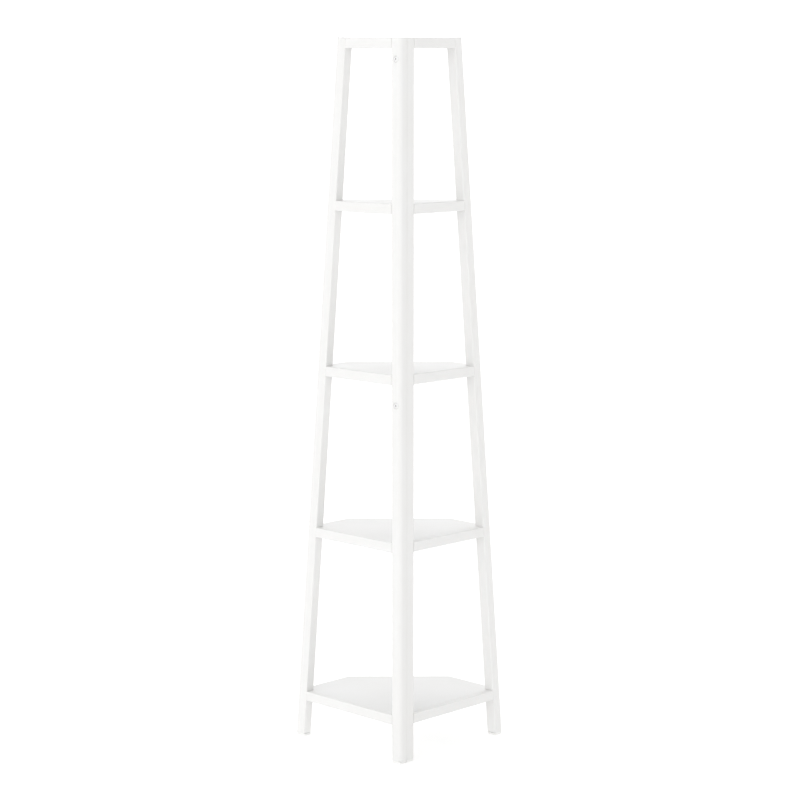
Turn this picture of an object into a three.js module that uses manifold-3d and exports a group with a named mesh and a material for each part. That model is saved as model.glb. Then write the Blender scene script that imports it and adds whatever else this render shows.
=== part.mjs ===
// Corner ladder shelf: two ladder frames bolted together at a corner post, carrying five shelves
// that get deeper towards the floor. Millimetres, +Z up. The shelf is laid out from the outer
// corner of the post, with one wall along X and the other along Y, and moved to its centre last.

import * as THREE from 'three';
import { mergeVertices } from 'three/addons/utils/BufferGeometryUtils.js';
import Module from 'manifold-3d';

// frames
const height = 1715;              // floor to the top of the post
const footReach = 363;            // outer corner of the post to the outer edge of a leg, at the floor
const topReach = 206;             // the same at the top
const stockX = 23.5;              // section of a stile or leg, along X
const stockY = 27.5;              // and along Y
const postRound = 12;             // radius down the outer corner of the post
const edgeRound = 2;              // radius along the other edges
const fit = 0.3;                  // clearance between pieces that touch

// rails
const railHigh = 24;
const railThick = 22;
const lipThick = 12;              // outer part of a rail, which hides the edge of the shelf
const railChamfer = 1;            // along the edges of the rail that face the shelf
const tenonLong = 12;
const tenonThick = 8;
const tenonHigh = 14;
const tenonInset = 4;             // wall face to tenon
const tenonRoot = 3;              // start of a tenon, inside its rail

// shelves
const shelfTops = [117, 536, 936, 1335, 1715];   // flush with their rails, from the floor up
const shelfThick = 15;
const shelfGap = 0.8;             // shelf to rail, post and leg
const frontWide = 256;            // straight front edge across the corner
const endLeast = 36;              // wall to the front edge, where a shelf is too small for frontWide
const frontRound = 8;             // radius where the front edge meets the ends
const shelfBevel = 1.5;

// bolts that join the stiles, with their sleeve nuts
const boltHeights = { lower: 865, upper: 1666 };
const boltHeadRadius = 7;
const boltHeadThick = 1.8;
const boltRadius = 3;
const boltLong = 36.7;
const nutRadius = 4.4;
const nutSetBack = 2;             // joint between the stiles to the open end of the sleeve
const nutSolid = 8;               // head end of the nut, up to the bottom of its bore
const keyRadius = 2.6;            // hexagon socket, across its corners
const keyDeep = 3;

// dowel at the foot of the post
const dowelHeight = 50;
const dowelRadius = 4;
const dowelLong = 30;

// countersunk screws, up through the rails into the shelves
const screwPlaces = [0.2, 0.8];   // along each rail
const screwLong = 19;
const screwTip = 3;
const screwRadius = 1.7;
const screwHeadRadius = 3.4;
const screwHeadHigh = 2;
const screwRim = 0.4;
const slotLong = 3.6;             // cross recess
const slotWide = 0.9;
const slotDeep = 1.4;

// glides under the stiles and legs
const glideThick = 6;
const glideLip = 1.5;             // glide beyond the leg, along the frame
const glideInset = 1;             // glide back from the wall face
const glideRound = 2.5;
const glideBevel = 1;
const pinRadius = 2.5;
const pinLong = 14;

const lean = (footReach - topReach) / height;    // a leg's run for each millimetre of rise
const postX = 2 * stockX;                        // two stiles side by side
const ledgeHigh = railHigh - shelfThick - fit;   // step of a rail, which carries the shelf
const past = 1;                                  // how far a cutter runs past the face it cuts
const overlap = 1;                               // between two solids that are joined into one
const curveSteps = 4;                            // facets in a rounded corner
const postSteps = 6;
const boltSides = 20;
const dowelSides = 16;
const smallSides = 12;

const whitePaint = { color: 0xf3f3f1, roughness: 0.42, metalness: 0 };
const shelfPaint = { color: 0xf1f1ef, roughness: 0.46, metalness: 0 };
const zinc = { color: 0xb4b6b8, roughness: 0.35, metalness: 1 };
const beech = { color: 0xcfae84, roughness: 0.7, metalness: 0 };
const whitePlastic = { color: 0xe9e9e6, roughness: 0.5, metalness: 0 };

const wasm = await Module();
wasm.setup();

const shelfUnit = new THREE.Group();

// the left frame lies along Y and the right frame along X; both measure u from the post's corner
// along the wall, and t out from the wall
const left = { name: 'left', postEdge: stockY, legAlong: stockY, legDeep: stockX };
const right = { name: 'right', postEdge: postX, legAlong: stockX, legDeep: stockY };

function place(side, u, t, z) {
  return side === left ? new THREE.Vector3(t, u, z) : new THREE.Vector3(u, t, z);
}

// outer edge of a leg at a height
function reach(z) {
  return footReach - lean * z;
}

function solidOf(geometry) {
  geometry.deleteAttribute('normal');
  geometry.deleteAttribute('uv');
  const merged = mergeVertices(geometry, 1e-4);
  const mesh = new wasm.Mesh({
    numProp: 3,
    vertProperties: new Float32Array(merged.attributes.position.array),
    triVerts: new Uint32Array(merged.index.array),
  });
  return new wasm.Manifold(mesh);
}

function addPiece(name, solid, finish) {
  const result = solid.getMesh();
  const geometry = new THREE.BufferGeometry();
  geometry.setAttribute('position', new THREE.Float32BufferAttribute(result.vertProperties, 3));
  geometry.setIndex(new THREE.Uint32BufferAttribute(result.triVerts, 1));
  geometry.computeVertexNormals();
  const mesh = new THREE.Mesh(geometry, new THREE.MeshStandardMaterial(finish));
  mesh.name = name;
  shelfUnit.add(mesh);
}

function cutAll(solid, cutters) {
  return cutters.reduce((rest, cutter) => rest.subtract(cutter), solid);
}

// solid box between two opposite corners
function block(a, b) {
  const size = new THREE.Vector3().subVectors(b, a);
  const geometry = new THREE.BoxGeometry(Math.abs(size.x), Math.abs(size.y), Math.abs(size.z));
  const middle = new THREE.Vector3().addVectors(a, b).multiplyScalar(0.5);
  return solidOf(geometry.translate(middle.x, middle.y, middle.z));
}

// rectangle from (0, 0) to (wide, deep); radii start at the corner (0, 0) and go round
function roundedRectangle(wide, deep, radii) {
  const [r0, r1, r2, r3] = radii;
  const shape = new THREE.Shape();
  shape.moveTo(r0, 0);
  shape.lineTo(wide - r1, 0);
  if (r1) shape.absarc(wide - r1, r1, r1, -Math.PI / 2, 0);
  shape.lineTo(wide, deep - r2);
  if (r2) shape.absarc(wide - r2, deep - r2, r2, 0, Math.PI / 2);
  shape.lineTo(r3, deep);
  if (r3) shape.absarc(r3, deep - r3, r3, Math.PI / 2, Math.PI);
  shape.lineTo(0, r0);
  if (r0) shape.absarc(r0, r0, r0, Math.PI, Math.PI * 1.5);
  return shape;
}

// prism of unit length whose points are then put in place by move(x, y, end)
function prism(shape, move, steps = curveSteps) {
  const geometry = new THREE.ExtrudeGeometry(shape, {
    depth: 1, bevelEnabled: false, curveSegments: steps,
  });
  const points = geometry.attributes.position;
  for (let i = 0; i < points.count; i += 1) {
    const p = move(points.getX(i), points.getY(i), points.getZ(i) > 0.5);
    points.setXYZ(i, p.x, p.y, p.z);
  }
  return solidOf(geometry);
}

// solid of revolution about its own Z axis, from (radius, z) pairs that start and end on the axis
function turned(profile, sides) {
  const points = profile.map(([radius, z]) => new THREE.Vector2(radius, z));
  return new THREE.LatheGeometry(points, sides).rotateX(Math.PI / 2);
}

function cylinder(radius, long, sides) {
  return turned([[0, 0], [radius, 0], [radius, long], [0, long]], sides);
}

// tenon of a rail, or its mortise when it is made larger by the clearance
function tenon(side, from, to, railTop, clearance) {
  const z = railTop - railHigh / 2;
  const a = place(side, from, tenonInset - clearance, z - tenonHigh / 2 - clearance);
  const b = place(side, to, tenonInset + tenonThick + clearance, z + tenonHigh / 2 + clearance);
  return block(a, b);
}

function postMortise(side, railTop) {
  return tenon(side, side.postEdge - tenonLong - fit, side.postEdge + past, railTop, fit);
}

function legMortise(side, railTop) {
  const face = reach(railTop - railHigh / 2) - side.legAlong;
  return tenon(side, face - tenonHigh * lean - past, face + tenonLong + fit, railTop, fit);
}

// countersunk screw, head down; grown by a clearance it is the hole it sits in
function screwAt(point, clearance) {
  const radius = screwRadius + clearance;
  const head = screwHeadRadius + clearance;
  const bottom = clearance ? -past : 0;
  const form = turned([
    [0, bottom], [head, bottom], [head, screwRim], [radius, screwRim + screwHeadHigh],
    [radius, screwLong - screwTip], [0, screwLong + clearance],
  ], smallSides);
  return solidOf(form.translate(point.x, point.y, point.z));
}

// the two screws of one rail, spaced along the wall
function railScrewPoints(side, railTop) {
  const start = side.postEdge;
  const end = reach(railTop) - side.legAlong;
  const middle = (lipThick + railThick) / 2;
  return screwPlaces.map((share) =>
    place(side, start + share * (end - start), middle, railTop - railHigh + fit));
}

function shelfScrewPoints(railTop) {
  return [left, right].flatMap((side) => railScrewPoints(side, railTop));
}

// turns a solid of revolution to lie along X, across the post
function acrossPost(form, z) {
  return solidOf(form.rotateY(Math.PI / 2).translate(0, stockY / 2, z));
}

// bolt from the left wall face, head first; grown by a clearance it is its hole
function boltForm(clearance) {
  const radius = boltRadius + clearance;
  const head = boltHeadRadius + clearance;
  const start = clearance ? -past : fit;
  const shoulder = fit + boltHeadThick + clearance;
  const end = fit + boltLong + clearance;
  return turned([
    [0, start], [head, start], [head, shoulder], [radius, shoulder], [radius, end], [0, end],
  ], boltSides);
}

// sleeve nut from the inner face of the post, over the end of the bolt
function nutForm() {
  const bore = boltRadius + fit;
  const start = stockX + nutSetBack;
  const face = postX - fit;
  const shoulder = face - boltHeadThick;
  return turned([
    [bore, start], [nutRadius, start], [nutRadius, shoulder], [boltHeadRadius, shoulder],
    [boltHeadRadius, face], [0, face], [0, face - nutSolid], [bore, face - nutSolid], [bore, start],
  ], boltSides);
}

function nutHole() {
  const sleeve = nutRadius + fit;
  const head = boltHeadRadius + fit;
  const start = stockX - past;
  const shoulder = postX - fit - boltHeadThick - fit;
  const end = postX + past;
  return turned([
    [0, start], [sleeve, start], [sleeve, shoulder], [head, shoulder], [head, end], [0, end],
  ], boltSides);
}

function keySocket(from, to) {
  return cylinder(keyRadius, to - from, 6).translate(0, 0, from);
}

function dowelForm(clearance) {
  const long = dowelLong + 2 * clearance;
  return cylinder(dowelRadius + clearance, long, dowelSides).translate(0, 0, stockX - long / 2);
}

// pin that holds a glide, or its hole when it is made larger by the clearance
function glidePin(x, y, z, clearance) {
  const form = cylinder(pinRadius + clearance, pinLong + 2 * clearance, smallSides);
  return solidOf(form.translate(x, y, z - clearance));
}

function makeStile(side, start, radii, steps, postCutters) {
  const outline = roundedRectangle(stockX - fit / 2, stockY, radii);
  const move = (x, y, end) => new THREE.Vector3(start + x, y, end ? height : glideThick);
  const cutters = [
    ...shelfTops.map((railTop) => postMortise(side, railTop)),
    ...postCutters,
    acrossPost(dowelForm(fit), dowelHeight),
    glidePin(start + stockX / 2, stockY / 2, glideThick, fit),
  ];
  addPiece(`${side.name}_stile`, cutAll(prism(outline, move, steps), cutters), whitePaint);
}

function makeStiles() {
  const heights = Object.values(boltHeights);
  const boltHoles = heights.map((z) => acrossPost(boltForm(fit), z));
  const nutHoles = heights.map((z) => acrossPost(nutHole(), z));
  makeStile(left, 0, [postRound, 0, 0, edgeRound], postSteps, boltHoles);
  makeStile(right, stockX + fit / 2, [0, edgeRound, edgeRound, 0], curveSteps, nutHoles);
}

// a leg leans in towards the post, stands level on its glide and is cut square at the top
function makeLeg(side) {
  const outline = roundedRectangle(stockX, stockY, Array(4).fill(edgeRound));
  const move = (x, y, end) => {
    const along = side === left ? y : x;
    const z = end ? height + lean * along : glideThick;
    return place(side, reach(z) - side.legAlong + along, side === left ? x : y, z);
  };
  const foot = place(side, reach(glideThick) - side.legAlong / 2, side.legDeep / 2, glideThick);
  const cutters = shelfTops.map((railTop) => legMortise(side, railTop));
  cutters.push(glidePin(foot.x, foot.y, foot.z, fit));
  addPiece(`${side.name}_leg`, cutAll(prism(outline, move), cutters), whitePaint);
}

// section of a rail across the wall: a lip as high as the rail and a ledge that carries the shelf
function railSection() {
  const shape = new THREE.Shape();
  shape.moveTo(edgeRound, 0);
  shape.lineTo(railThick - railChamfer, 0);
  shape.lineTo(railThick, railChamfer);
  shape.lineTo(railThick, ledgeHigh);
  shape.lineTo(lipThick, ledgeHigh);
  shape.lineTo(lipThick, railHigh - railChamfer);
  shape.lineTo(lipThick - railChamfer, railHigh);
  shape.lineTo(edgeRound, railHigh);
  shape.absarc(edgeRound, railHigh - edgeRound, edgeRound, Math.PI / 2, Math.PI);
  shape.lineTo(0, edgeRound);
  shape.absarc(edgeRound, edgeRound, edgeRound, Math.PI, Math.PI * 1.5);
  return shape;
}

function makeRail(side, railTop, number) {
  const bottom = railTop - railHigh;
  const legFace = (z) => reach(z) - side.legAlong - fit;
  // the section is extruded from the leg on the left and from the post on the right,
  // so that both rails keep their faces pointing out
  const move = (t, z, end) => {
    const atLeg = side === left ? !end : end;
    return place(side, atLeg ? legFace(bottom + z) : side.postEdge + fit, t, bottom + z);
  };
  const end = legFace(bottom + railHigh / 2);
  const postTenon = tenon(side, side.postEdge - tenonLong, side.postEdge + tenonRoot, railTop, 0);
  const legTenon = tenon(side, end - tenonRoot, end + tenonLong, railTop, 0);
  const holes = railScrewPoints(side, railTop).map((point) => screwAt(point, fit));
  const rail = prism(railSection(), move).add(postTenon).add(legTenon);
  addPiece(`${side.name}_rail_${number}`, cutAll(rail, holes), whitePaint);
}

// five-sided shelf, notched round the post and both legs
function shelfOutline(railTop) {
  const edge = lipThick + shelfGap;
  const far = reach(railTop);
  const legX = stockX + shelfGap;
  const legY = stockY + shelfGap;
  const cut = Math.min(frontWide / Math.SQRT2, far - endLeast);
  const bend = frontRound * Math.tan(Math.PI / 8);
  const shape = new THREE.Shape();
  shape.moveTo(postX + shelfGap, edge);
  shape.lineTo(far - legX, edge);
  shape.lineTo(far - legX, legY);
  shape.lineTo(far, legY);
  shape.lineTo(far, far - cut - bend);
  shape.absarc(far - frontRound, far - cut - bend, frontRound, 0, Math.PI / 4);
  shape.absarc(far - cut - bend, far - frontRound, frontRound, Math.PI / 4, Math.PI / 2);
  shape.lineTo(legX, far);
  shape.lineTo(legX, far - legY);
  shape.lineTo(edge, far - legY);
  shape.lineTo(edge, legY);
  shape.lineTo(postX + shelfGap, legY);
  shape.closePath();
  return shape;
}

function makeShelf(railTop, number) {
  const geometry = new THREE.ExtrudeGeometry(shelfOutline(railTop), {
    depth: shelfThick - 2 * shelfBevel,
    bevelThickness: shelfBevel,
    bevelSize: shelfBevel,
    bevelOffset: -shelfBevel,
    bevelSegments: 2,
    curveSegments: 3,
  });
  geometry.translate(0, 0, railTop - shelfThick + shelfBevel);
  const pilots = shelfScrewPoints(railTop).map((point) => screwAt(point, fit));
  addPiece(`shelf_${number}`, cutAll(solidOf(geometry), pilots), shelfPaint);
}

function crossSlot(point, wide, deep) {
  const low = new THREE.Vector3(point.x - wide / 2, point.y - deep / 2, point.z - past);
  const high = new THREE.Vector3(point.x + wide / 2, point.y + deep / 2, point.z + slotDeep);
  return block(low, high);
}

function makeShelfScrews(railTop, number) {
  shelfScrewPoints(railTop).forEach((point, i) => {
    const slots = [crossSlot(point, slotLong, slotWide), crossSlot(point, slotWide, slotLong)];
    addPiece(`shelf_${number}_screw_${i + 1}`, cutAll(screwAt(point, 0), slots), zinc);
  });
}

function makePostFasteners() {
  const face = postX - fit;
  for (const [which, z] of Object.entries(boltHeights)) {
    const boltKey = acrossPost(keySocket(0, fit + keyDeep), z);
    const nutKey = acrossPost(keySocket(face - keyDeep, postX), z);
    addPiece(`${which}_post_bolt`, acrossPost(boltForm(0), z).subtract(boltKey), zinc);
    addPiece(`${which}_post_nut`, acrossPost(nutForm(), z).subtract(nutKey), zinc);
  }
  addPiece('post_dowel', acrossPost(dowelForm(0), dowelHeight), beech);
}

// flat plastic glide with a pin that is pressed into the end of the wood
function makeGlide(name, x0, x1, y0, y1) {
  const outline = roundedRectangle(x1 - x0, y1 - y0, Array(4).fill(glideRound));
  const pad = new THREE.ExtrudeGeometry(outline, {
    depth: glideThick - fit - 2 * glideBevel,
    bevelThickness: glideBevel,
    bevelSize: glideBevel,
    bevelOffset: -glideBevel,
    bevelSegments: 1,
    curveSegments: 2,
  }).translate(x0, y0, glideBevel);
  const pin = glidePin((x0 + x1) / 2, (y0 + y1) / 2, glideThick - overlap, 0);
  addPiece(name, solidOf(pad).add(pin), whitePlastic);
}

function makeGlides() {
  const near = glideInset;
  const outer = reach(glideThick) + glideLip;
  const inner = (side) => reach(glideThick) - side.legAlong - glideLip;
  makeGlide('left_stile_glide', near, stockX - near, near, stockY - near);
  makeGlide('right_stile_glide', stockX + near, postX - near, near, stockY - near);
  makeGlide('left_leg_glide', near, stockX - near, inner(left), outer);
  makeGlide('right_leg_glide', inner(right), outer, near, stockY - near);
}

makeStiles();
makeLeg(left);
makeLeg(right);
shelfTops.forEach((railTop, i) => {
  makeRail(left, railTop, i + 1);
  makeRail(right, railTop, i + 1);
  makeShelf(railTop, i + 1);
  makeShelfScrews(railTop, i + 1);
});
makePostFasteners();
makeGlides();

// the origin is on the floor, under the middle of the space that the shelf takes up
const span = reach(glideThick) + glideLip;
shelfUnit.position.set(-span / 2, -span / 2, 0);

export default shelfUnit;
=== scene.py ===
from math import ceil, cos, pi, radians, sin, tan

import bmesh
import bpy
from mathutils import Matrix, Vector


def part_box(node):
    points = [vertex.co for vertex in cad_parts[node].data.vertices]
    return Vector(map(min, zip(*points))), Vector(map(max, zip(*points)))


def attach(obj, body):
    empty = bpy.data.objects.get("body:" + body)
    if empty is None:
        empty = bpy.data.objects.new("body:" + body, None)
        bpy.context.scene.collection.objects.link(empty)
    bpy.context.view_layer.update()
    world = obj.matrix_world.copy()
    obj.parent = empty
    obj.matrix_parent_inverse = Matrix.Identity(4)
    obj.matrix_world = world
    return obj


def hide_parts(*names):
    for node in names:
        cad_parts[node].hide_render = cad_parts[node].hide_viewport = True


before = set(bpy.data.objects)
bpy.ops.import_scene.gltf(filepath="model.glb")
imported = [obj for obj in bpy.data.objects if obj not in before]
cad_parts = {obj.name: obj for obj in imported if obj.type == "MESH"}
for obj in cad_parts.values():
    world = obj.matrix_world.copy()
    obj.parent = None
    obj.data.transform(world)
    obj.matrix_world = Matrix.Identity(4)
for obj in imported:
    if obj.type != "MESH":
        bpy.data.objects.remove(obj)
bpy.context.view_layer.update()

mm = 0.001
print("frame loaded:", len(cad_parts), "nodes")


picture = {
    "lens": 102.07,           # mm, on a sensor this many mm wide
    "sensor": 36,
    "away": 5.229,            # from the outer corner of the post
    "aside": 0.0001,          # to the right of that corner
    "height": 1.649,
    "heading": 44.57,         # degrees round from +X, almost square to the corner
    "tiltDown": 8.36,
    "farthest": 100,
}


def makeCamera(settings):
    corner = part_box("left_stile")[0]
    heading = radians(settings["heading"])
    forward = Vector((cos(heading), sin(heading), 0))
    aside = Vector((sin(heading), -cos(heading), 0))
    camera = bpy.data.objects.new("camera", bpy.data.cameras.new("camera"))
    camera.data.lens = settings["lens"]
    camera.data.sensor_width = settings["sensor"]
    camera.data.clip_end = settings["farthest"]
    place = Vector((corner.x, corner.y, 0)) - forward * settings["away"] + aside * settings["aside"]
    camera.location = place + Vector((0, 0, settings["height"]))
    camera.rotation_euler = (radians(90 - settings["tiltDown"]), 0, heading - pi / 2)
    bpy.context.scene.collection.objects.link(camera)
    bpy.context.scene.camera = camera


studio = {
    "sky": 0.53,              # even white light from all round
    "keyStrength": 1.09,      # broad soft light on the left
    "keyFrom": (-0.88, -0.06, 0.47),
    "topStrength": 0.92,      # another high up, towards the open side
    "topFrom": (0.30, 0.34, 0.89),
    "frontStrength": 0.68,    # gentle fill from beside the camera, into the inner faces
    "frontFrom": (-0.66, -0.70, 0.28),
    "softness": 60,           # degrees across each light
    "floorSize": 80.0,
    "floorColour": (0.60, 0.60, 0.595, 1),
    "floorCloud": (0.58, 0.58, 0.58, 1),
    "cloudSize": 0.8,
    "floorRough": 0.75,
    "cloudRough": 0.1,
    "floorGlow": 0.515,       # lit from below, so that shadows on it stay faint
    "wallAway": 38.4,         # white wall all round, just inside the floor's edge
    "wallFoot": -0.1,
    "wallHigh": 14.0,
    "wallSteps": 96,
    "wallGlow": 1.2,
}


def makeSoftLight(name, strength, comesFrom, softness):
    light = bpy.data.lights.new(name, "SUN")
    light.energy = strength
    light.angle = radians(softness)
    lamp = bpy.data.objects.new(name, light)
    lamp.rotation_euler = Vector(comesFrom).to_track_quat("Z", "Y").to_euler()
    bpy.context.scene.collection.objects.link(lamp)


def makeStudio(settings):
    world = bpy.data.worlds.new("studio")
    bpy.context.scene.world = world
    world.use_nodes = True
    backdrop = world.node_tree.nodes["Background"]
    backdrop.inputs["Color"].default_value = (1, 1, 1, 1)
    backdrop.inputs["Strength"].default_value = settings["sky"]
    for name in ("key", "top", "front"):
        makeSoftLight(name + "Light", settings[name + "Strength"], settings[name + "From"],
                      settings["softness"])
    bpy.context.scene.view_settings.view_transform = "Standard"
    bpy.context.scene.view_settings.look = "None"


class Wire:
    # one output of a node; arithmetic on it adds Math nodes to the same material
    def __init__(self, tree, socket=None):
        self.tree = tree
        self.socket = socket

    def node(self, kind, settings=None, sockets=None, out=0):
        made = self.tree.nodes.new("ShaderNode" + kind)
        for name, value in (settings or {}).items():
            if name == "stops":
                for stop, (place, shade) in zip(made.color_ramp.elements, value):
                    stop.position = place
                    stop.color = (shade, shade, shade, 1)
            else:
                setattr(made, name, value)
        for name, value in (sockets or {}).items():
            if isinstance(value, Wire):
                self.tree.links.new(value.socket, made.inputs[name])
            else:
                made.inputs[name].default_value = value
        return Wire(self.tree, made.outputs[out])

    def maths(self, operation, first, second):
        return self.node("Math", {"operation": operation}, {0: first, 1: second})

    def __add__(self, other):
        return self.maths("ADD", self, other)

    __radd__ = __add__

    def __sub__(self, other):
        return self.maths("SUBTRACT", self, other)

    def __rsub__(self, other):
        return self.maths("SUBTRACT", other, self)

    def __mul__(self, other):
        return self.maths("MULTIPLY", self, other)

    __rmul__ = __mul__

    def ramp(self, low, high):
        # 0 below low, 1 above high
        return self.node("ValToRGB", {"stops": [(low, 0), (high, 1)]}, {0: self})

    def blend(self, first, second):
        # colour that goes from first to second as this wire goes from 0 to 1
        return self.node("Mix", {"data_type": "RGBA"}, {0: self, 6: first, 7: second}, 2)


def startFinish(name, constants):
    material = bpy.data.materials.new(name)
    material.use_nodes = True
    surface = material.node_tree.nodes["Principled BSDF"]
    for socket, value in constants.items():
        surface.inputs[socket].default_value = value
    return material, surface, Wire(material.node_tree)


def feed(surface, **wires):
    for name, wire in wires.items():
        wire.tree.links.new(wire.socket, surface.inputs[name.replace("_", " ")])


def noise(start, where, size=1.0, detail=3.0, roughness=0.55, distortion=0.0):
    # size is that of the pattern's cells, in metres unless where is stretched already
    return start.node("TexNoise", {}, {"Vector": where, "Scale": 1 / size, "Detail": detail,
                                       "Roughness": roughness, "Distortion": distortion})


def stretched(start, where, size, shift=(0, 0, 0), turn=(0, 0, 0)):
    # coordinates for a pattern whose cells have this size along each of the turned axes
    return start.node("Mapping", {"vector_type": "TEXTURE"},
                      {"Vector": where, "Location": shift, "Rotation": turn, "Scale": size})


def seeded(seed, steps):
    return tuple(seed * step for step in steps)


def raised(start, height):
    return start.node("Bump", {}, {"Strength": 1.0, "Distance": 1.0, "Height": height})


def upward(start):
    # 1 where the surface looks straight up, -1 where it looks down
    return start.node("SeparateXYZ", {}, {0: start.node("NewGeometry", out=1)}, 2)


masks = {
    "edgeSamples": 6,
    "edgeRange": (0.004, 0.12),   # turn of the surface at which an edge starts and is full
    "hollowSamples": 8,
}


def edgeMask(start, radius, settings=masks):
    # 1 on a rounded edge, 0 on a flat face
    rounded = start.node("Bevel", {"samples": settings["edgeSamples"]}, {"Radius": radius})
    facing = start.node("NewGeometry", out=1)
    flatness = start.node("VectorMath", {"operation": "DOT_PRODUCT"}, {0: rounded, 1: facing}, 1)
    return (1 - flatness).ramp(*settings["edgeRange"])


def hollowMask(start, reach, settings=masks):
    # 1 deep in a corner or a hole, 0 in the open, from ambient occlusion; the finishes paint shade
    # into their colour with it, and the zinc also roughens with it
    return 1 - start.node("AmbientOcclusion", {"samples": settings["hollowSamples"]},
                          {"Distance": reach}, 1)


framePaint = {
    "colour": (0.785, 0.785, 0.780, 1),
    "thinColour": (0.750, 0.738, 0.715, 1),   # where the paint thins over an edge
    "dustAndShadeColour": (0.66, 0.652, 0.635, 1),    # dust in the pores, and painted shade in the corners of joints
    "coat": 0.22,
    "coatRough": 0.2,
    "specular": 0.46,
    "rough": 0.37,
    "roughPatch": 0.16,                       # what each pattern adds to the roughness
    "roughGrain": 0.10,
    "roughPore": 0.12,
    "edgeRub": 0.05,
    "grainSize": (0.42, 0.0034, 0.0034),      # along and across the grain
    "grainShare": 0.6,                        # of the change in tone; the patches make the rest
    "grainHigh": 0.08 * mm,
    "toneRange": (0.34, 0.66),
    "toneStrength": 0.45,
    "poreSize": (0.030, 0.0007, 0.0007),
    "poreRange": (0.58, 0.70),
    "poreStrength": 0.16,
    "poreHigh": 0.020 * mm,
    "peelSize": 1.5 * mm,                     # ripple of the sprayed coat
    "peelHigh": 0.010 * mm,
    "patchSize": 0.11,
    "edgeReach": 1.6 * mm,
    "edgeEven": 0.25,                         # wear of an edge everywhere, and in patches
    "edgePatch": 0.5,
    "edgeStrength": 0.6,
    # painted shade: the corners of joints are darkened where ambient occlusion finds them
    "jointShadeReach": 7 * mm,
    "jointShadeRange": (0.25, 0.95),
    "jointShadeStrength": 0.4,
    "seedSteps": (0.37, 0.11, 0.23),
}


def makeFramePaint(name, along, seed, settings=framePaint):
    # satin white over solid wood: the grain still lifts the coat a little, lengthwise
    material, surface, start = startFinish(name, {
        "Coat Weight": settings["coat"], "Coat Roughness": settings["coatRough"],
        "Specular IOR Level": settings["specular"],
    })
    where = start.node("TexCoord", out=3)
    turn = Vector((1, 0, 0)).rotation_difference(along).to_euler()
    shift = seeded(seed, settings["seedSteps"])
    grain = noise(start, stretched(start, where, settings["grainSize"], shift, turn),
                  detail=5.0, roughness=0.6, distortion=0.4)
    pores = noise(start, stretched(start, where, settings["poreSize"], shift, turn),
                  detail=2.0, roughness=0.5).ramp(*settings["poreRange"])
    peel = noise(start, where, settings["peelSize"], 1.0)
    patch = noise(start, where, settings["patchSize"], 2.0)
    edge = edgeMask(start, settings["edgeReach"])
    # painted shade in the corners of joints, from ambient occlusion
    joint = hollowMask(start, settings["jointShadeReach"]).ramp(*settings["jointShadeRange"])

    share = settings["grainShare"]
    tone = (share * grain + (1 - share) * patch).ramp(*settings["toneRange"])
    worn = edge * (settings["edgeEven"] + patch * settings["edgePatch"])
    colour = (tone * settings["toneStrength"]).blend(settings["colour"], settings["thinColour"])
    colour = (pores * settings["poreStrength"]).blend(colour, settings["dustAndShadeColour"])
    colour = (worn * settings["edgeStrength"]).blend(colour, settings["thinColour"])
    colour = (joint * settings["jointShadeStrength"]).blend(colour, settings["dustAndShadeColour"])
    rough = (settings["rough"] + (patch - 0.5) * settings["roughPatch"]
             + (grain - 0.5) * settings["roughGrain"] + pores * settings["roughPore"]
             - edge * settings["edgeRub"])
    high = (grain * settings["grainHigh"] - pores * settings["poreHigh"]
            + peel * settings["peelHigh"])
    feed(surface, Base_Color=colour, Roughness=rough, Normal=raised(start, high))
    return material


shelfPaint = {
    "colour": (0.785, 0.785, 0.782, 1),
    "thinColour": (0.750, 0.739, 0.716, 1),
    # scuff marks on top, and painted shade in the corners of joints
    "dustAndShadeColour": (0.66, 0.652, 0.635, 1),
    "coat": 0.25,
    "coatRough": 0.16,
    "specular": 0.48,
    "rough": 0.34,
    "roughPatch": 0.14,
    "roughLane": 0.06,
    "roughScuff": 0.16,
    "peelSize": 2.2 * mm,
    "peelHigh": 0.016 * mm,
    "laneSize": (0.012, 0.09, 0.012),         # faint lanes left by the coating line
    "laneTurn": 45,
    "laneHigh": 0.5,                          # against the ripple of the coat
    "patchSize": 0.16,
    "patchShare": 0.7,                        # of the change in tone; the lanes make the rest
    "toneRange": (0.34, 0.66),
    "toneStrength": 0.3,
    "scuffSize": (0.004, 0.055, 0.02),
    "scuffTurn": 20,
    "scuffTurnStep": 31,                      # degrees more on each next shelf
    "scuffRange": (0.62, 0.80),
    "scuffStrength": 0.12,
    "topRange": (0.7, 0.95),                  # scuffs lie only where the surface looks up
    "edgeReach": 1.8 * mm,
    "edgeEven": 0.2,
    "edgePatch": 0.5,
    "edgeStrength": 0.6,
    # painted shade: the corners of joints are darkened where ambient occlusion finds them
    "jointShadeReach": 9 * mm,
    "jointShadeRange": (0.15, 0.85),
    "jointShadeStrength": 0.5,
    "seedSteps": (0.41, 0.19, 0.07),
}


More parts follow.
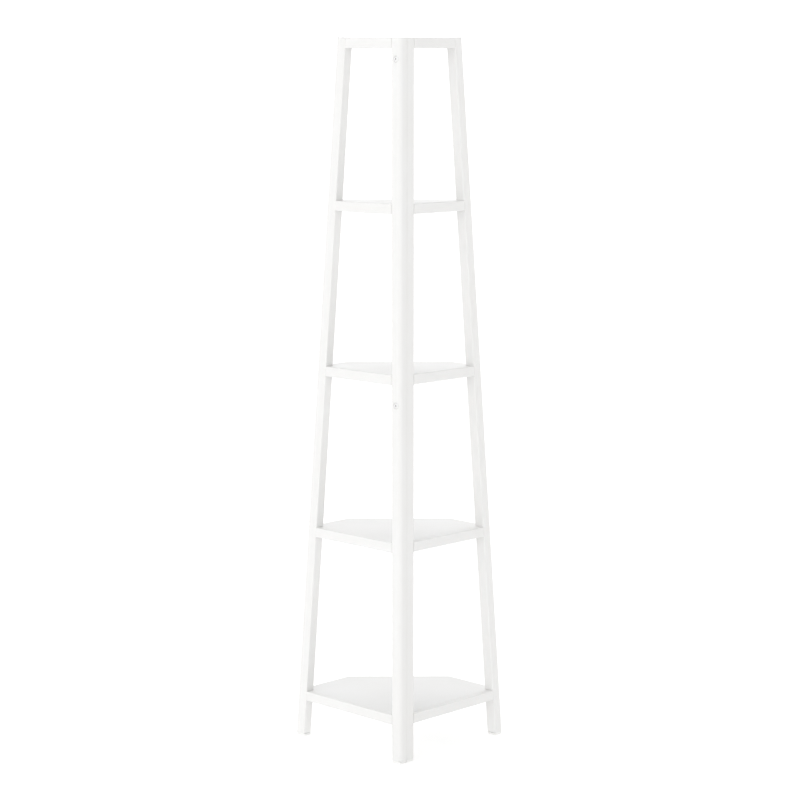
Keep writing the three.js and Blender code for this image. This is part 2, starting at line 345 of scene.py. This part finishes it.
def makeShelfPaint(name, seed, settings=shelfPaint):
    # satin white over fibreboard: no grain, a finer and glossier coat with light use marks on top
    material, surface, start = startFinish(name, {
        "Coat Weight": settings["coat"], "Coat Roughness": settings["coatRough"],
        "Specular IOR Level": settings["specular"],
    })
    where = start.node("TexCoord", out=3)
    shift = seeded(seed, settings["seedSteps"])
    laneTurn = radians(settings["laneTurn"])
    scuffTurn = radians(settings["scuffTurn"] + settings["scuffTurnStep"] * seed)
    peel = noise(start, where, settings["peelSize"], 2.0)
    patch = noise(start, where, settings["patchSize"], 3.0)
    lane = noise(start, stretched(start, where, settings["laneSize"], shift, (0, 0, laneTurn)),
                 detail=2.0, roughness=0.5)
    marks = noise(start, stretched(start, where, settings["scuffSize"], shift, (0, 0, scuffTurn)),
                  detail=6.0, roughness=0.7)
    scuff = marks.ramp(*settings["scuffRange"]) * upward(start).ramp(*settings["topRange"])
    edge = edgeMask(start, settings["edgeReach"])
    # painted shade in the corners of joints, from ambient occlusion
    joint = hollowMask(start, settings["jointShadeReach"]).ramp(*settings["jointShadeRange"])

    share = settings["patchShare"]
    tone = (share * patch + (1 - share) * lane).ramp(*settings["toneRange"])
    worn = edge * (settings["edgeEven"] + patch * settings["edgePatch"])
    colour = (tone * settings["toneStrength"]).blend(settings["colour"], settings["thinColour"])
    colour = (scuff * settings["scuffStrength"]).blend(colour, settings["dustAndShadeColour"])
    colour = (worn * settings["edgeStrength"]).blend(colour, settings["thinColour"])
    colour = (joint * settings["jointShadeStrength"]).blend(colour, settings["dustAndShadeColour"])
    rough = (settings["rough"] + (patch - 0.5) * settings["roughPatch"]
             + (lane - 0.5) * settings["roughLane"] + scuff * settings["roughScuff"])
    high = (peel + lane * settings["laneHigh"]) * settings["peelHigh"]
    feed(surface, Base_Color=colour, Roughness=rough, Normal=raised(start, high))
    return material


zincPlate = {
    "colour": (0.84, 0.845, 0.855, 1),
    "yellowed": (0.78, 0.76, 0.70, 1),
    # painted shade: dark colour for the socket, the recess and other hollows
    "hollowShadeColour": (0.16, 0.155, 0.15, 1),
    "rough": 0.28,
    "roughSpangle": 0.10,
    "roughHaze": 0.14,
    "roughHollow": 0.2,
    "ringSize": 0.35 * mm,                    # turning marks round the axis
    "ringHigh": 0.008 * mm,
    "spangleSize": 2.4 * mm,
    "hazeSize": 4 * mm,
    "hazeRange": (0.4, 0.7),
    "hazeStrength": 0.45,
    "hollowReach": 2.5 * mm,
    # how far ambient occlusion darkens the colour in hollows, as painted shade
    "hollowShadeRange": (0.35, 0.9),
    "hollowShadeStrength": 0.85,
}


def makeZinc(name, settings=zincPlate):
    # bright zinc over turned steel; each piece keeps its own axis as local Z
    material, surface, start = startFinish(name, {"Metallic": 1.0})
    where = start.node("TexCoord", out=3)
    flat = start.node("VectorMath", {"operation": "MULTIPLY"}, {0: where, 1: (1, 1, 0)})
    radius = start.node("VectorMath", {"operation": "LENGTH"}, {0: flat}, 1)
    rings = start.node("TexNoise", {"noise_dimensions": "1D"},
                       {"W": radius, "Scale": 1 / settings["ringSize"], "Detail": 2.0})
    spangle = start.node("TexVoronoi", {}, {"Vector": where, "Scale": 1 / settings["spangleSize"]})
    haze = noise(start, where, settings["hazeSize"], 4.0)
    hollow = hollowMask(start, settings["hollowReach"])
    yellow = haze.ramp(*settings["hazeRange"]) * settings["hazeStrength"]
    # painted shade: the colour goes dark where ambient occlusion finds a hollow, such as the socket
    dark = hollow.ramp(*settings["hollowShadeRange"]) * settings["hollowShadeStrength"]
    colour = yellow.blend(settings["colour"], settings["yellowed"])
    colour = dark.blend(colour, settings["hollowShadeColour"])
    rough = (settings["rough"] + spangle * settings["roughSpangle"]
             + haze * settings["roughHaze"] + hollow * settings["roughHollow"])
    normal = raised(start, rings * settings["ringHigh"])
    feed(surface, Base_Color=colour, Roughness=rough, Normal=normal)
    return material


beechWood = {
    "pale": (0.66, 0.47, 0.29, 1),
    "dark": (0.50, 0.32, 0.18, 1),
    "fleckColour": (0.36, 0.21, 0.11, 1),
    "rough": 0.62,
    "roughFleck": 0.1,
    "grainSize": (0.0012, 0.0012, 0.02),
    "grainRange": (0.3, 0.7),
    "grainHigh": 0.05 * mm,
    "fleckSize": (0.0004, 0.0008, 0.003),
    "fleckRange": (0.6, 0.7),
    "fleckStrength": 0.6,
}


def makeBeech(name, settings=beechWood):
    # bare beech with its short dark flecks, along local Z
    material, surface, start = startFinish(name, {})
    where = start.node("TexCoord", out=3)
    grain = noise(start, stretched(start, where, settings["grainSize"]), detail=4.0, roughness=0.5)
    fleck = noise(start, stretched(start, where, settings["fleckSize"]),
                  detail=1.0, roughness=0.5).ramp(*settings["fleckRange"])
    colour = grain.ramp(*settings["grainRange"]).blend(settings["pale"], settings["dark"])
    colour = (fleck * settings["fleckStrength"]).blend(colour, settings["fleckColour"])
    rough = settings["rough"] + fleck * settings["roughFleck"]
    normal = raised(start, grain * settings["grainHigh"])
    feed(surface, Base_Color=colour, Roughness=rough, Normal=normal)
    return material


glidePlastic = {
    "colour": (0.84, 0.84, 0.825, 1),
    "rubbed": (0.66, 0.65, 0.62, 1),
    "rough": 0.44,
    "roughPatch": 0.2,
    "roughRubbed": 0.15,
    "specular": 0.5,
    "textureSize": 0.45 * mm,
    "textureHigh": 0.02 * mm,
    "patchSize": 9 * mm,
    "patchRange": (0.35, 0.65),
    "underRange": (0.4, 0.9),                 # rubbed only where the surface looks down
    "rubStrength": 0.7,
}


def makeGlidePlastic(name, settings=glidePlastic):
    # matte moulded plastic with a fine spark texture, rubbed grey underneath
    material, surface, start = startFinish(name, {"Specular IOR Level": settings["specular"]})
    where = start.node("TexCoord", out=3)
    texture = noise(start, where, settings["textureSize"], 1.0)
    patch = noise(start, where, settings["patchSize"], 3.0)
    under = (upward(start) * -1).ramp(*settings["underRange"])
    rubbed = under * patch.ramp(*settings["patchRange"])
    colour = (rubbed * settings["rubStrength"]).blend(settings["colour"], settings["rubbed"])
    rough = (settings["rough"] + (patch - 0.5) * settings["roughPatch"]
             + rubbed * settings["roughRubbed"])
    normal = raised(start, texture * settings["textureHigh"])
    feed(surface, Base_Color=colour, Roughness=rough, Normal=normal)
    return material


def makeFloor(settings):
    half = settings["floorSize"] / 2
    mesh = bpy.data.meshes.new("floor")
    mesh.from_pydata([(-half, -half, 0), (half, -half, 0), (half, half, 0), (-half, half, 0)],
                     [], [(0, 1, 2, 3)])
    floor = bpy.data.objects.new("floor", mesh)
    bpy.context.scene.collection.objects.link(floor)
    material, surface, start = startFinish("paleFloor", {
        "Specular IOR Level": 0.1, "Emission Color": (1, 1, 1, 1),
        "Emission Strength": settings["floorGlow"],
    })
    where = start.node("TexCoord", out=3)
    cloud = noise(start, where, settings["cloudSize"], 2.0)
    colour = cloud.blend(settings["floorColour"], settings["floorCloud"])
    rough = settings["floorRough"] + cloud * settings["cloudRough"]
    feed(surface, Base_Color=colour, Roughness=rough)
    mesh.materials.append(material)


def makeWall(settings):
    ring = bmesh.new()
    radius, steps = settings["wallAway"], settings["wallSteps"]
    turns = [2 * pi * i / steps for i in range(steps)]
    low, high = ([ring.verts.new((radius * cos(a), radius * sin(a), z)) for a in turns]
                 for z in (settings["wallFoot"], settings["wallHigh"]))
    for i in range(steps):
        ring.faces.new((low[i - 1], low[i], high[i], high[i - 1]))
    wall = bpy.data.objects.new("wall", bpy.data.meshes.new("wall"))
    ring.to_mesh(wall.data)
    ring.free()
    bpy.context.scene.collection.objects.link(wall)
    material = startFinish("whiteWall", {
        "Base Color": (0, 0, 0, 1), "Specular IOR Level": 0.0, "Roughness": 1.0,
        "Emission Color": (1, 1, 1, 1), "Emission Strength": settings["wallGlow"],
    })[0]
    wall.data.materials.append(material)


curveSteps = 8                # straight facets in each rounded corner
closeEnough = 0.001 * mm      # points nearer than this are one point
offFacets = radians(4.5)      # keeps the corners of a socket off the facets of a turned head
easeAbove = radians(35)       # edges that turn more than this are eased
sharpAbove = radians(40)      # and edges that turn more than this are shaded sharp
past = 1 * mm                 # how far a cutter runs past the face it cuts
threadRows = 5                # rings of points in each turn of a thread
threadFade = 8                # a thread fades over one part in this many, at each end


def roundedOutline(corners):
    # corners are (x, y, radius) in order round the shape; a radius of 0 leaves a corner sharp
    outline = []
    for i, (x, y, radius) in enumerate(corners):
        here = Vector((x, y))
        before = (Vector(corners[i - 1][:2]) - here).normalized()
        after = (Vector(corners[(i + 1) % len(corners)][:2]) - here).normalized()
        if not radius:
            outline.append(here)
            continue
        half = before.angle(after) / 2
        centre = here + (before + after).normalized() * (radius / sin(half))
        start = here + before * (radius / tan(half)) - centre
        sweep = (pi - 2 * half) * (1 if before.cross(after) < 0 else -1)
        for step in range(curveSteps + 1):
            outline.append(centre + Matrix.Rotation(sweep * step / curveSteps, 2) @ start)
    return outline


def addRings(mesh, rings):
    # skin over rings of points with a cap on the first and the last
    loops = [[mesh.verts.new(point) for point in ring] for ring in rings]
    for lower, upper in zip(loops, loops[1:]):
        for i in range(len(lower)):
            mesh.faces.new((lower[i - 1], lower[i], upper[i], upper[i - 1]))
    mesh.faces.new(loops[0])
    mesh.faces.new(loops[-1])


def addBox(mesh, low, high):
    x, y = (low.x, high.x), (low.y, high.y)
    ring = [(x[0], y[0]), (x[1], y[0]), (x[1], y[1]), (x[0], y[1])]
    addRings(mesh, [[Vector((a, b, z)) for a, b in ring] for z in (low.z, high.z)])


def addTurned(mesh, rows, steps=32, matrix=Matrix()):
    # rows are (radius, z, thread depth, thread pitch) from one end of the axis to the other
    loops = []
    for radius, z, depth, pitch in rows:
        if radius == 0:
            loops.append([mesh.verts.new(matrix @ Vector((0, 0, z)))])
            continue
        loop = []
        for step in range(steps):
            share = step / steps
            r = radius - depth * abs(2 * ((z / pitch - share) % 1) - 1)
            angle = 2 * pi * share
            loop.append(mesh.verts.new(matrix @ Vector((r * cos(angle), r * sin(angle), z))))
        loops.append(loop)
    for lower, upper in zip(loops, loops[1:]):
        for i in range(steps):
            ends = [lower[i - 1], lower[i]] if len(lower) > 1 else [lower[0]]
            ends += [upper[i], upper[i - 1]] if len(upper) > 1 else [upper[0]]
            mesh.faces.new(ends)


def plain(rows):
    return [(radius, z, 0, 1) for radius, z in rows]


def threaded(radius, start, end, pitch, depth):
    # a screw thread between two heights, fading in and out at its ends
    count = ceil((end - start) / pitch * threadRows)
    rows = []
    for i in range(count + 1):
        share = i / count
        fade = min(1, share * threadFade, (1 - share) * threadFade)
        rows.append((radius, start + (end - start) * share, depth * fade, pitch))
    return rows


def finishedMesh(name, mesh):
    bmesh.ops.recalc_face_normals(mesh, faces=mesh.faces)
    data = bpy.data.meshes.new(name)
    mesh.to_mesh(data)
    mesh.free()
    return data


def shapedMesh(name, mesh, ease=0.0, easeSteps=3, join=None, cut=None):
    # rounds the sharp edges, then joins and cuts with other closed shapes
    body = bpy.data.objects.new(name, finishedMesh(name, mesh))
    bpy.context.scene.collection.objects.link(body)
    if ease:
        bevel = body.modifiers.new("ease", "BEVEL")
        bevel.width = ease
        bevel.segments = easeSteps
        bevel.limit_method = "ANGLE"
        bevel.angle_limit = easeAbove
    tools = []
    for operation, shape in (("UNION", join), ("DIFFERENCE", cut)):
        if shape is None:
            continue
        tool = bpy.data.objects.new("tool", finishedMesh("tool", shape))
        bpy.context.scene.collection.objects.link(tool)
        tools.append(tool)
        boolean = body.modifiers.new(operation.lower(), "BOOLEAN")
        boolean.operation = operation
        boolean.solver = "EXACT"
        boolean.object = tool
    ready = body.evaluated_get(bpy.context.evaluated_depsgraph_get())
    result = bpy.data.meshes.new_from_object(ready)
    for extra in (body, *tools):
        bpy.data.objects.remove(extra)
    result.name = name
    whole = bmesh.new()
    whole.from_mesh(result)
    bmesh.ops.remove_doubles(whole, verts=whole.verts, dist=closeEnough)
    bmesh.ops.dissolve_degenerate(whole, edges=whole.edges, dist=closeEnough)
    whole.to_mesh(result)
    whole.free()
    result.polygons.foreach_set("use_smooth", [True] * len(result.polygons))
    result.set_sharp_from_angle(angle=sharpAbove)
    return result


def addPiece(name, mesh, finish, node, matrix=Matrix()):
    piece = bpy.data.objects.new(name, mesh)
    bpy.context.scene.collection.objects.link(piece)
    mesh.materials.clear()
    mesh.materials.append(finish)
    piece.matrix_world = matrix
    weighted = piece.modifiers.new("flatFaces", "WEIGHTED_NORMAL")
    weighted.keep_sharp = True
    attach(piece, "root")
    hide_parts(node)


# sizes that the pieces share, read from the frame
levels = range(1, 6)
fit = 0.3 * mm
leftStile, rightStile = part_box("left_stile"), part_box("right_stile")
corner = Vector((leftStile[0].x, leftStile[0].y, 0))
postTop = leftStile[1].z
footTop = leftStile[0].z
postX = rightStile[1].x - corner.x
stockX = postX / 2
stockY = leftStile[1].y - corner.y


class Side:
    # one ladder frame: u runs along its wall from the post, t out from the wall
    def __init__(self, name, postEdge, legAlong, legDeep):
        self.name = name
        self.postEdge = postEdge
        self.legAlong = legAlong
        self.legDeep = legDeep
        low, high = (self.flat(point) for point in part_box(name + "_leg"))
        self.foot = high[0]
        self.lean = (high[0] - legAlong - low[0]) / (postTop - footTop)

    def flat(self, point):
        here = point - corner
        return (here.y, here.x) if self.name == "left" else (here.x, here.y)

    def place(self, u, t, z):
        here = (t, u, z) if self.name == "left" else (u, t, z)
        return corner + Vector(here)

    def legFace(self, z):
        # the face of the leg that looks at the post
        return self.foot - self.lean * (z - footTop) - self.legAlong


left = Side("left", stockY, stockY, stockX)
right = Side("right", postX, stockX, stockY)
sides = (left, right)


tenonSize = {
    "long": 12 * mm,
    "thick": 8 * mm,
    "high": 14 * mm,
    "inset": 4 * mm,          # from the wall face
    "root": 3 * mm,           # start of a tenon, inside its rail
}


def addTenon(mesh, side, start, end, middle, grow=0.0, settings=tenonSize):
    half = settings["high"] / 2 + grow
    a = side.place(start, settings["inset"] - grow, middle - half)
    b = side.place(end, settings["inset"] + settings["thick"] + grow, middle + half)
    addBox(mesh, Vector(map(min, a, b)), Vector(map(max, a, b)))


def railBand(side, level):
    low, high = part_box(f"{side.name}_rail_{level}")
    return low.z, high.z


boltWays = {
    "headRound": 7.3 * mm,
    "headDeep": 2.4 * mm,
    "shankRound": 3.3 * mm,
    "nutRound": 4.7 * mm,
    "mouth": 0.5 * mm,        # small chamfer round the mouth of a hole
}


def alongX(x, y, z, flip=1):
    # local Z becomes +X, or -X when flipped
    return Matrix.Translation((x, y, z)) @ Matrix.Rotation(flip * pi / 2, 4, "Y")


def addBoltWay(mesh, side, height, settings=boltWays):
    middle = corner.y + stockY / 2
    shank = settings["shankRound"] if side is left else settings["nutRound"]
    head, deep, mouth = settings["headRound"], settings["headDeep"], settings["mouth"]
    end = stockX + past
    rows = plain([(0, -past), (head + mouth + past, -past), (head, mouth), (head, deep),
                  (shank, deep), (shank, end), (0, end)])
    face, flip = (corner.x, 1) if side is left else (corner.x + postX, -1)
    addTurned(mesh, rows, matrix=alongX(face, middle, height, flip))


pinWays = {
    "round": 2.8 * mm,
    "deep": 14.3 * mm,
    "steps": 16,
}


def addPinWay(mesh, node, settings=pinWays):
    low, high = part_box(node)
    at = Matrix.Translation(((low.x + high.x) / 2, (low.y + high.y) / 2, footTop))
    radius, deep = settings["round"], settings["deep"]
    rows = plain([(0, -past), (radius, -past), (radius, deep), (0, deep)])
    addTurned(mesh, rows, settings["steps"], at)


def addDowelWay(mesh, steps=24):
    low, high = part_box("post_dowel")
    radius = (high.y - low.y) / 2 + fit
    start, end = low.x - fit, high.x + fit
    rows = plain([(0, start), (radius, start), (radius, end), (0, end)])
    addTurned(mesh, rows, steps, alongX(0, corner.y + stockY / 2, (low.z + high.z) / 2))


stileShape = {
    "cornerRound": 12 * mm,   # down the outer corner of the post
    "edgeRound": 2 * mm,
    "ease": 0.45 * mm,
}


def makeStiles(settings=stileShape):
    big, small = settings["cornerRound"], settings["edgeRound"]
    boltHeights = [sum(point.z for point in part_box(which + "_post_bolt")) / 2
                   for which in ("lower", "upper")]
    for seed, side in enumerate(sides, 1):
        node = side.name + "_stile"
        low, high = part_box(node)
        wide, deep = high.x - low.x, high.y - low.y
        radii = (big, 0, 0, small) if side is left else (0, small, small, 0)
        ends = ((0, 0), (wide, 0), (wide, deep), (0, deep))
        outline = roundedOutline([(x, y, r) for (x, y), r in zip(ends, radii)])
        bar = bmesh.new()
        addRings(bar, [[Vector((low.x + p.x, low.y + p.y, z)) for p in outline]
                       for z in (low.z, high.z)])
        ways = bmesh.new()
        for level in levels:
            bottom, top = railBand(side, level)
            addTenon(ways, side, side.postEdge - tenonSize["long"] - fit, side.postEdge + past,
                     (bottom + top) / 2, fit)
        for height in boltHeights:
            addBoltWay(ways, side, height)
        addDowelWay(ways)
        addPinWay(ways, node + "_glide")
        mesh = shapedMesh(side.name + "Stile", bar, settings["ease"], cut=ways)
        finish = makeFramePaint(side.name + "StilePaint", Vector((0, 0, 1)), seed)
        addPiece(node + "_painted", mesh, finish, node)


legShape = {
    "edgeRound": 2 * mm,
    "ease": 0.7 * mm,
}


def makeLegs(settings=legShape):
    small = settings["edgeRound"]
    for seed, side in enumerate(sides, 3):
        node = side.name + "_leg"
        outline = roundedOutline([(0, 0, small), (side.legDeep, 0, small),
                                  (side.legDeep, side.legAlong, small), (0, side.legAlong, small)])

        def ring(height):
            # the foot is level and the top is cut square to the leg
            points = []
            for p in outline:
                z = height + (side.lean * p.y if height == postTop else 0)
                points.append(side.place(side.legFace(z) + p.y, p.x, z))
            return points

        bar = bmesh.new()
        addRings(bar, [ring(footTop), ring(postTop)])
        ways = bmesh.new()
        for level in levels:
            bottom, top = railBand(side, level)
            middle = (bottom + top) / 2
            face = side.legFace(middle)
            # the leg leans, so this cutter starts farther out
            addTenon(ways, side, face - 2 * past, face + tenonSize["long"] + fit, middle, fit)
        addPinWay(ways, node + "_glide")
        mesh = shapedMesh(side.name + "Leg", bar, settings["ease"], cut=ways)
        rise = side.place(side.legFace(1), 0, 1) - side.place(side.legFace(0), 0, 0)
        finish = makeFramePaint(side.name + "LegPaint", rise.normalized(), seed)
        addPiece(node + "_painted", mesh, finish, node)


railShape = {
    "lip": 12 * mm,           # outer part, which hides the edge of the shelf
    "ledge": 8.7 * mm,        # height of the step that carries the shelf
    "edgeRound": 2 * mm,
    "ease": 0.35 * mm,
    "jointGap": 0.06 * mm,    # paint fills most of the joint at each end
}

screwShape = {
    "headRound": 3.4 * mm,
    "headHigh": 2.4 * mm,
    "rim": 0.4 * mm,          # straight edge of the head
    "shankRound": 1.7 * mm,
    "neckEnd": 3.2 * mm,
    "threadStart": 3.6 * mm,
    "threadDeep": 0.55 * mm,
    "pitch": 1.6 * mm,
    "tip": 3 * mm,
    "wayPoint": 2 * mm,       # pointed end of its hole
    "star": 1.9 * mm,         # arm of the cross recess
    "starDeep": 1.5 * mm,
    "starWide": 0.26,         # half its width, against its length
    "starTaper": (1.05, 0.55),
    "steps": 24,
    "waySteps": 16,
}

cutterStart = -0.2 * mm       # start of a recess cutter, outside the head


def screwBoxes(level):
    return [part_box(f"shelf_{level}_screw_{i}") for i in range(1, 5)]


def addScrewWay(mesh, low, high, settings=screwShape):
    head, shank = settings["headRound"] + fit, settings["shankRound"] + fit
    top = high.z - low.z + fit
    rows = plain([(0, -past), (head, -past), (head, settings["rim"]),
                  (shank, settings["headHigh"]), (shank, top - settings["wayPoint"]), (0, top)])
    at = Matrix.Translation(((low.x + high.x) / 2, (low.y + high.y) / 2, low.z))
    addTurned(mesh, rows, settings["waySteps"], at)


def makeRails(settings=railShape):
    lip, ledge, small = settings["lip"], settings["ledge"], settings["edgeRound"]
    gap, root, long = settings["jointGap"], tenonSize["root"], tenonSize["long"]
    for seed, side in enumerate(sides):
        for level in levels:
            node = f"{side.name}_rail_{level}"
            bottom, top = railBand(side, level)
            thick = max(side.flat(point)[1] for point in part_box(node))
            tall = top - bottom
            section = roundedOutline([(0, 0, small), (thick, 0, 0), (thick, ledge, 0),
                                      (lip, ledge, 0), (lip, tall, 0), (0, tall, small)])
            bar = bmesh.new()
            addRings(bar, [
                [side.place(side.postEdge + gap, p.x, bottom + p.y) for p in section],
                [side.place(side.legFace(bottom + p.y) - gap, p.x, bottom + p.y) for p in section],
            ])
            middle = (bottom + top) / 2
            face = side.legFace(middle)
            tenons = bmesh.new()
            addTenon(tenons, side, side.postEdge - long, side.postEdge + root, middle)
            addTenon(tenons, side, face - root, face + long - fit, middle)
            ways = bmesh.new()
            for low, high in screwBoxes(level):
                if side.flat((low + high) / 2)[1] < thick:
                    addScrewWay(ways, low, high)
            mesh = shapedMesh(node, bar, settings["ease"], join=tenons, cut=ways)
            along = Vector((0, 1, 0)) if side is left else Vector((1, 0, 0))
            finish = makeFramePaint(node + "Paint", along, 5 + seed * len(levels) + level)
            addPiece(node + "_painted", mesh, finish, node)


shelfShape = {
    "gap": 0.8 * mm,          # to the post and the legs
    "front": 256 * mm,        # straight front edge across the corner
    "endLeast": 36 * mm,
    "frontRound": 8 * mm,
    "ease": 1.8 * mm,
}


def makeShelves(settings=shelfShape):
    gap = settings["gap"]
    for level in levels:
        node = f"shelf_{level}"
        low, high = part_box(node)
        edge, far = low.x - corner.x, high.x - corner.x
        cut = min(settings["front"] * sin(pi / 4), far - settings["endLeast"])
        legX, legY = stockX + gap, stockY + gap
        turn = settings["frontRound"]
        outline = roundedOutline([
            (postX + gap, edge, 0), (far - legX, edge, 0), (far - legX, legY, 0), (far, legY, 0),
            (far, far - cut, turn), (far - cut, far, turn),
            (legX, far, 0), (legX, far - legY, 0), (edge, far - legY, 0), (edge, legY, 0),
            (postX + gap, legY, 0),
        ])
        board = bmesh.new()
        addRings(board, [[corner + Vector((p.x, p.y, z)) for p in outline]
                         for z in (low.z, high.z)])
        ways = bmesh.new()
        for screw in screwBoxes(level):
            addScrewWay(ways, *screw)
        mesh = shapedMesh(node, board, settings["ease"], 4, cut=ways)
        finish = makeShelfPaint(node + "Paint", level)
        addPiece(node + "_board", mesh, finish, node)


def addStar(mesh, settings=screwShape):
    # cross recess that tapers to its bottom
    rings = []
    for z, share in zip((cutterStart, settings["starDeep"]), settings["starTaper"]):
        long = settings["star"] * share
        short = long * settings["starWide"]
        quarter = [(long, -short), (long, short), (short, short)]
        ring = []
        for turn in range(4):
            spin = Matrix.Rotation(turn * pi / 2 + offFacets, 2)
            ring += [spin @ Vector(point) for point in quarter]
        rings.append([Vector((p.x, p.y, z)) for p in ring])
    addRings(mesh, rings)


def makeShelfScrews(settings=screwShape):
    head, shank, tip = settings["headRound"], settings["shankRound"], settings["tip"]
    low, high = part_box("shelf_1_screw_1")
    long = high.z - low.z
    rows = plain([(0, 0), (head - 0.3 * mm, 0), (head, 0.15 * mm), (head, settings["rim"]),
                  (shank + 0.25 * mm, settings["headHigh"]),
                  (shank - 0.2 * mm, settings["neckEnd"])])
    rows += threaded(shank, settings["threadStart"], long - tip, settings["pitch"],
                     settings["threadDeep"])
    rows += plain([(shank * 0.55, long - tip / 2), (0, long)])
    body = bmesh.new()
    addTurned(body, rows, settings["steps"])
    recess = bmesh.new()
    addStar(recess)
    pattern = shapedMesh("shelfScrew", body, cut=recess)
    finish = makeZinc("screwZinc")
    for level in levels:
        for i, (low, high) in enumerate(screwBoxes(level), 1):
            node = f"shelf_{level}_screw_{i}"
            at = Matrix.Translation(((low.x + high.x) / 2, (low.y + high.y) / 2, low.z))
            turn = Matrix.Rotation(0.7 * i + 1.3 * level, 4, "Z")   # where the driver left it
            addPiece(node + "_zinc", pattern.copy(), finish, node, at @ turn)


boltShape = {
    "headThick": 1.8 * mm,
    # mm in from the edge of the head, and down from its face
    "rim": ((1.0, 0), (0.4, 0.12), (0.1, 0.45), (0, 0.9)),
    "shankRound": 3 * mm,
    "threadStart": 0.45,      # of the length of the bolt
    "threadDeep": 0.45 * mm,
    "pitch": 1.0 * mm,
    "tip": 1.2 * mm,
    "key": 2.6 * mm,          # corner radius of the hexagon socket
    "keyDeep": 3 * mm,
    "nutRound": 4.4 * mm,
    "nutBore": 3.3 * mm,
    "nutEase": 0.5 * mm,
    "boreDeep": 8 * mm,       # solid end of the nut, behind its head
    "steps": 40,
}


def addKeySocket(mesh, settings=boltShape):
    # hexagon socket with a conical bottom
    deep = settings["keyDeep"]
    turns = [i * pi / 3 + offFacets for i in range(6)]
    rings = []
    for z, share in ((cutterStart, 1.03), (deep, 1.0), (deep + mm, 0.3)):
        r = settings["key"] * share
        rings.append([Vector((r * cos(turn), r * sin(turn), z)) for turn in turns])
    addRings(mesh, rings)


def flatHead(head, settings=boltShape):
    # face of a wide flat head with a rolled rim
    thick = settings["headThick"]
    rim = [(head - inward * mm, down * mm) for inward, down in settings["rim"]]
    return [(0, 0), *rim, (head, thick - 0.2 * mm), (head - 0.3 * mm, thick)]


def addPostFastener(node, rows, place, settings=boltShape):
    body, socket = bmesh.new(), bmesh.new()
    addTurned(body, rows, settings["steps"])
    addKeySocket(socket)
    addPiece(node + "_zinc", shapedMesh(node, body, cut=socket), makeZinc(node + "Zinc"), node,
             place)


def makePostFasteners(settings=boltShape):
    thick, shank, tip = settings["headThick"], settings["shankRound"], settings["tip"]
    outer, bore, ease = settings["nutRound"], settings["nutBore"], settings["nutEase"]
    deep = settings["boreDeep"]
    for which in ("lower", "upper"):
        node = which + "_post_bolt"
        low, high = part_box(node)
        head, long = (high.y - low.y) / 2, high.x - low.x
        rows = plain(flatHead(head) + [(shank + 0.4 * mm, thick), (shank, thick + 0.5 * mm)])
        rows += threaded(shank, long * settings["threadStart"], long - tip, settings["pitch"],
                         settings["threadDeep"])
        rows += plain([(shank - 0.8 * mm, long), (0, long)])
        centre = (low + high) / 2
        addPostFastener(node, rows, alongX(low.x, centre.y, centre.z))

        node = which + "_post_nut"
        low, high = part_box(node)
        head, long = (high.y - low.y) / 2, high.x - low.x
        rows = plain(flatHead(head) + [
            (outer + 0.3 * mm, thick), (outer, thick + 0.4 * mm), (outer, long - ease),
            (outer - ease, long), (bore + 0.4 * mm, long), (bore, long - ease),
            (bore, deep), (0, deep - mm),
        ])
        addPostFastener(node, rows, alongX(high.x, centre.y, centre.z, -1))


dowelShape = {
    "flutes": 16,
    "fluteDeep": 0.3 * mm,
    "fluteSteps": 6,
    "ease": 0.8 * mm,
}


def makeDowel(settings=dowelShape):
    low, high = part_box("post_dowel")
    radius, long = (high.y - low.y) / 2, high.x - low.x
    flutes, ease = settings["flutes"], settings["ease"]
    count = flutes * settings["fluteSteps"]
    rings = []
    for z, shrink in ((0, ease), (ease, 0), (long - ease, 0), (long, ease)):
        ring = []
        for i in range(count):
            angle = 2 * pi * i / count
            flute = settings["fluteDeep"] * (0.5 + 0.5 * cos(flutes * angle))
            r = radius - shrink - flute
            ring.append(Vector((r * cos(angle), r * sin(angle), z)))
        rings.append(ring)
    body = bmesh.new()
    addRings(body, rings)
    centre = (low + high) / 2
    addPiece("post_dowel_beech", shapedMesh("postDowel", body), makeBeech("bareBeech"),
             "post_dowel", alongX(low.x, centre.y, centre.z))


glideShape = {
    "cornerRound": 2.5 * mm,
    "ease": 0.9 * mm,
    "pin": 2.5 * mm,
    "pinRoot": 2 * mm,        # start of the pin, inside the pad
    "pinTip": 1.5 * mm,
    "pinSteps": 24,
}


def makeGlides(settings=glideShape):
    finish = makeGlidePlastic("glidePlastic")
    padTop = footTop - fit
    r, radius = settings["cornerRound"], settings["pin"]
    root = padTop - settings["pinRoot"]
    for name in ("left_stile", "right_stile", "left_leg", "right_leg"):
        node = name + "_glide"
        low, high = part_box(node)
        outline = roundedOutline([(low.x, low.y, r), (high.x, low.y, r), (high.x, high.y, r),
                                  (low.x, high.y, r)])
        pad = bmesh.new()
        addRings(pad, [[Vector((p.x, p.y, z)) for p in outline] for z in (low.z, padTop)])
        centre = (low + high) / 2
        pin = bmesh.new()
        rows = plain([(0, root), (radius, root), (radius, high.z - settings["pinTip"]),
                      (radius / 2, high.z), (0, high.z)])
        addTurned(pin, rows, settings["pinSteps"], Matrix.Translation((centre.x, centre.y, 0)))
        mesh = shapedMesh(node, pad, settings["ease"], join=pin)
        addPiece(node + "_plastic", mesh, finish, node)


makeCamera(picture)
makeStudio(studio)
makeFloor(studio)
makeWall(studio)
print("camera, light and floor placed")
makeStiles()
makeLegs()
print("stiles and legs made")
makeRails()
makeShelves()
print("rails and shelves made")
makeShelfScrews()
makePostFasteners()
makeDowel()
makeGlides()
print("screws, bolts, dowel and glides made")
